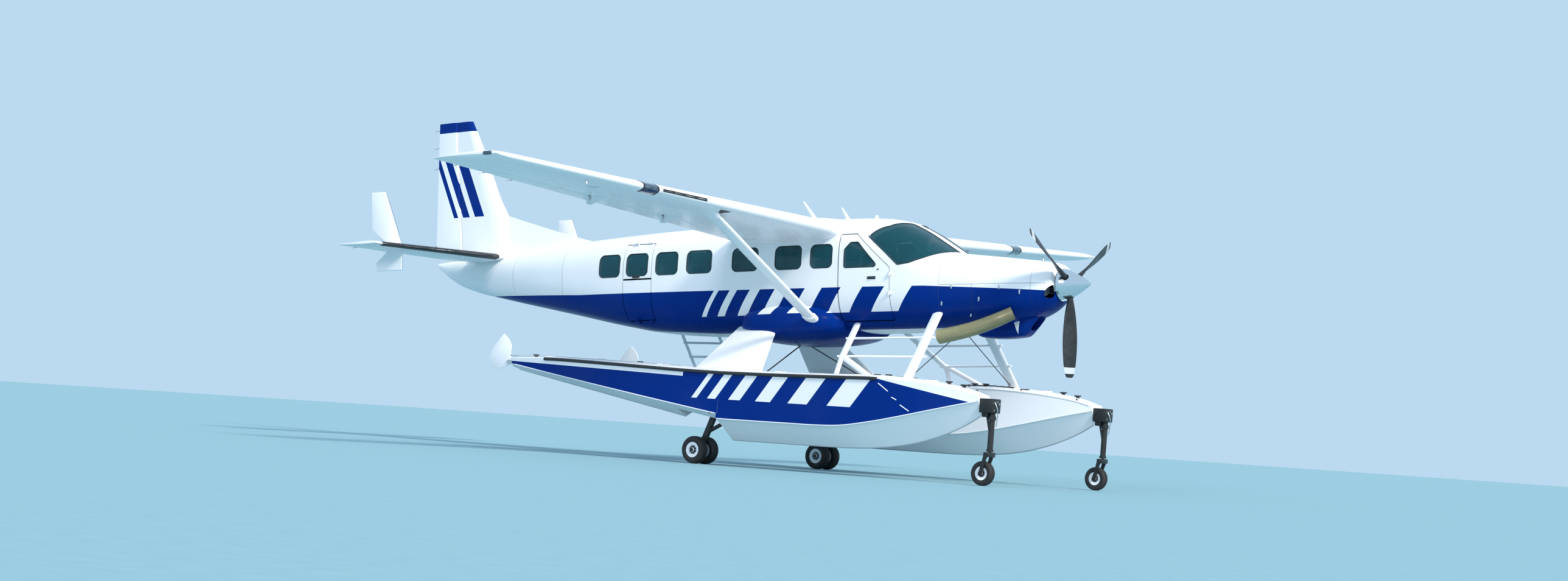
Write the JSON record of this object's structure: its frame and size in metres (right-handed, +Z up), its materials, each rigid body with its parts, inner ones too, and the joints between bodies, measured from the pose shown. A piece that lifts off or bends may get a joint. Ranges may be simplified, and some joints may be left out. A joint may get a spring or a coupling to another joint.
{
  "type": "amphibious floatplane",
  "caption": "High-wing amphibious floatplane with a nose turboprop, braced wings, wheeled floats and opening doors.",
  "frame": {"origin": "on the ground under the centre of the aircraft's box", "axes": "+X to the nose, +Y to port along the wing, +Z up"},
  "size_m": [12.8391, 15.86, 5.4107],
  "materials": {
    "white_paint": "gloss",
    "blue_paint": "gloss",
    "black_metal": "satin",
    "tyre_rubber": "matte",
    "polished_metal": "mirror",
    "bare_metal": "satin",
    "engine_metal": "satin",
    "heated_metal": "satin",
    "tinted_glass": "gloss",
    "cabin_grey": "matte",
    "cabin_black": "matte",
    "seat_cloth": "matte"
  },
  "bodies": {
    "airframe": {"cabin_shell": "white_paint", "tail_cone": "white_paint", "belly_fairing": "blue_paint", "windshield": "tinted_glass", "cabin_floor": "cabin_grey", "cabin_seats": "seat_cloth", "instrument_panel": "cabin_black", "cowl_upper": "white_paint", "cowl_lower": "blue_paint", "engine": "engine_metal", "exhaust_stack": "heated_metal", "wing_left": "white_paint", "wing_right": "white_paint", "wing_strut_left": "white_paint", "wing_strut_right": "white_paint", "fin": "white_paint", "stabilizer": "white_paint", "float_left": "blue_paint", "float_right": "blue_paint", "front_struts_left": "white_paint", "front_struts_right": "white_paint", "rear_strut_left": "white_paint", "rear_strut_right": "white_paint", "main_leg_left": "black_metal", "main_leg_right": "black_metal", "nose_leg_left": "black_metal", "nose_leg_right": "black_metal"},
    "propeller": {"spinner": "polished_metal", "propeller": "black_metal"},
    "rudder": {"rudder": "white_paint"},
    "airstair_upper": {"airstair_upper": "white_paint"},
    "airstair_lower": {"airstair_lower": "white_paint"},
    "cargo_door_upper": {"cargo_door_upper": "white_paint"},
    "cargo_door_lower": {"cargo_door_lower": "white_paint"},
    "aileron_left": {"aileron_left": "white_paint"},
    "flap_left": {"flap_left": "white_paint"},
    "elevator_left": {"elevator_left": "white_paint"},
    "nose_fork_left": {"nose_fork_left": "black_metal"},
    "nose_wheel_left": {"nose_wheel_left": "tyre_rubber"},
    "rudder_post_left": {"rudder_post_left": "bare_metal"},
    "water_rudder_left": {"water_rudder_left": "white_paint"},
    "crew_door_left": {"crew_door_left": "white_paint", "crew_window_left": "tinted_glass"},
    "main_wheels_left": {"main_wheel_left_inner": "tyre_rubber", "main_wheel_left_outer": "tyre_rubber"},
    "aileron_right": {"aileron_right": "white_paint"},
    "flap_right": {"flap_right": "white_paint"},
    "elevator_right": {"elevator_right": "white_paint"},
    "nose_fork_right": {"nose_fork_right": "black_metal"},
    "nose_wheel_right": {"nose_wheel_right": "tyre_rubber"},
    "rudder_post_right": {"rudder_post_right": "bare_metal"},
    "water_rudder_right": {"water_rudder_right": "white_paint"},
    "crew_door_right": {"crew_door_right": "white_paint", "crew_window_right": "tinted_glass"},
    "main_wheels_right": {"main_wheel_right_inner": "tyre_rubber", "main_wheel_right_outer": "tyre_rubber"}
  },
  "joints": [
    {"name": "propeller_spin", "type": "hinge", "parent": "airframe", "child": "propeller", "pos_m": [6.08002, 0, 2.95533], "axis": [0.9983, 0, 0.0576], "continuous": true},
    {"name": "aileron_left_tilt", "type": "hinge", "parent": "airframe", "child": "aileron_left", "pos_m": [1.0897, 5.56, 3.78418], "axis": [0.0118, 0.9984, 0.055], "range_deg": [-15, 25]},
    {"name": "flap_left_lower", "type": "hinge", "parent": "airframe", "child": "flap_left", "pos_m": [1.04987, 0.98, 3.37378], "axis": [-0.0109, -0.9983, -0.0569], "range_deg": [0, 30]},
    {"name": "aileron_right_tilt", "type": "hinge", "parent": "airframe", "child": "aileron_right", "pos_m": [1.0897, -5.56, 3.78418], "axis": [-0.0118, 0.9984, -0.055], "range_deg": [-25, 15]},
    {"name": "flap_right_lower", "type": "hinge", "parent": "airframe", "child": "flap_right", "pos_m": [1.04987, -0.98, 3.37378], "axis": [0.0109, -0.9983, 0.0569], "range_deg": [0, 30]},
    {"name": "rudder_turn", "type": "hinge", "parent": "airframe", "child": "rudder", "pos_m": [-5.68915, 0, 3.12313], "axis": [-0.1573, 0, 0.9875], "range_deg": [-25, 25]},
    {"name": "elevator_left_tilt", "type": "hinge", "parent": "airframe", "child": "elevator_left", "pos_m": [-5.2934, 0.3, 3.07083], "axis": [0.0096, 1, 0.0006], "range_deg": [-20, 25]},
    {"name": "elevator_right_tilt", "type": "hinge", "parent": "airframe", "child": "elevator_right", "pos_m": [-5.2934, -0.3, 3.07083], "axis": [-0.0096, 1, -0.0006], "range_deg": [-20, 25]},
    {"name": "main_wheels_left_spin", "type": "hinge", "parent": "airframe", "child": "main_wheels_left", "pos_m": [0.8117, 1.61, 0.205], "axis": [0, 1, 0], "continuous": true},
    {"name": "nose_fork_left_caster", "type": "hinge", "parent": "airframe", "child": "nose_fork_left", "pos_m": [5.8817, 1.61, 0.48], "axis": [0, 0, 1], "range_deg": [-60, 60]},
    {"name": "nose_wheel_left_spin", "type": "hinge", "parent": "nose_fork_left", "child": "nose_wheel_left", "pos_m": [5.7917, 1.61, 0.173], "axis": [0, 1, 0], "continuous": true},
    {"name": "water_steer_left", "type": "hinge", "parent": "airframe", "child": "rudder_post_left", "pos_m": [-2.9933, 1.61, 1.38], "axis": [0, 0, 1], "range_deg": [-25, 25]},
    {"name": "water_rudder_left_lower", "type": "hinge", "parent": "rudder_post_left", "child": "water_rudder_left", "pos_m": [-3.0883, 1.61, 1.37], "axis": [0, -1, 0], "range_deg": [0, 80]},
    {"name": "main_wheels_right_spin", "type": "hinge", "parent": "airframe", "child": "main_wheels_right", "pos_m": [0.8117, -1.61, 0.205], "axis": [0, 1, 0], "continuous": true},
    {"name": "nose_fork_right_caster", "type": "hinge", "parent": "airframe", "child": "nose_fork_right", "pos_m": [5.8817, -1.61, 0.48], "axis": [0, 0, 1], "range_deg": [-60, 60]},
    {"name": "nose_wheel_right_spin", "type": "hinge", "parent": "nose_fork_right", "child": "nose_wheel_right", "pos_m": [5.7917, -1.61, 0.173], "axis": [0, 1, 0], "continuous": true},
    {"name": "water_steer_right", "type": "hinge", "parent": "airframe", "child": "rudder_post_right", "pos_m": [-2.9933, -1.61, 1.38], "axis": [0, 0, 1], "range_deg": [-25, 25]},
    {"name": "water_rudder_right_lower", "type": "hinge", "parent": "rudder_post_right", "child": "water_rudder_right", "pos_m": [-3.0883, -1.61, 1.37], "axis": [0, -1, 0], "range_deg": [0, 80]},
    {"name": "crew_door_left_swing", "type": "hinge", "parent": "airframe", "child": "crew_door_left", "pos_m": [3.49605, 0.82918, 2.77629], "axis": [0.0576, 0, -0.9983], "range_deg": [0, 75]},
    {"name": "crew_door_right_swing", "type": "hinge", "parent": "airframe", "child": "crew_door_right", "pos_m": [3.49605, -0.82918, 2.77629], "axis": [-0.0576, 0, 0.9983], "range_deg": [0, 75]},
    {"name": "airstair_upper_swing", "type": "hinge", "parent": "airframe", "child": "airstair_upper", "pos_m": [-1.08493, -0.72744, 3.37358], "axis": [-0.9983, 0, -0.0576], "range_deg": [0, 95]},
    {"name": "airstair_lower_swing", "type": "hinge", "parent": "airframe", "child": "airstair_lower", "pos_m": [-1.01413, -0.68161, 2.14562], "axis": [0.9983, 0, 0.0576], "range_deg": [0, 105]},
    {"name": "cargo_door_upper_swing", "type": "hinge", "parent": "airframe", "child": "cargo_door_upper", "pos_m": [-0.57538, 0.7466, 3.40297], "axis": [0.9983, 0, 0.0576], "range_deg": [0, 95]},
    {"name": "cargo_door_lower_swing", "type": "hinge", "parent": "airframe", "child": "cargo_door_lower", "pos_m": [-0.50458, 0.71823, 2.175], "axis": [-0.9983, 0, -0.0576], "range_deg": [0, 105]}
  ],
  "couplings": [
    {"joint": "aileron_right_tilt", "follows": "aileron_left_tilt", "ratio": -1},
    {"joint": "flap_right_lower", "follows": "flap_left_lower", "ratio": 1},
    {"joint": "elevator_right_tilt", "follows": "elevator_left_tilt", "ratio": 1},
    {"joint": "water_steer_right", "follows": "water_steer_left", "ratio": 1},
    {"joint": "water_rudder_right_lower", "follows": "water_rudder_left_lower", "ratio": 1}
  ]
}
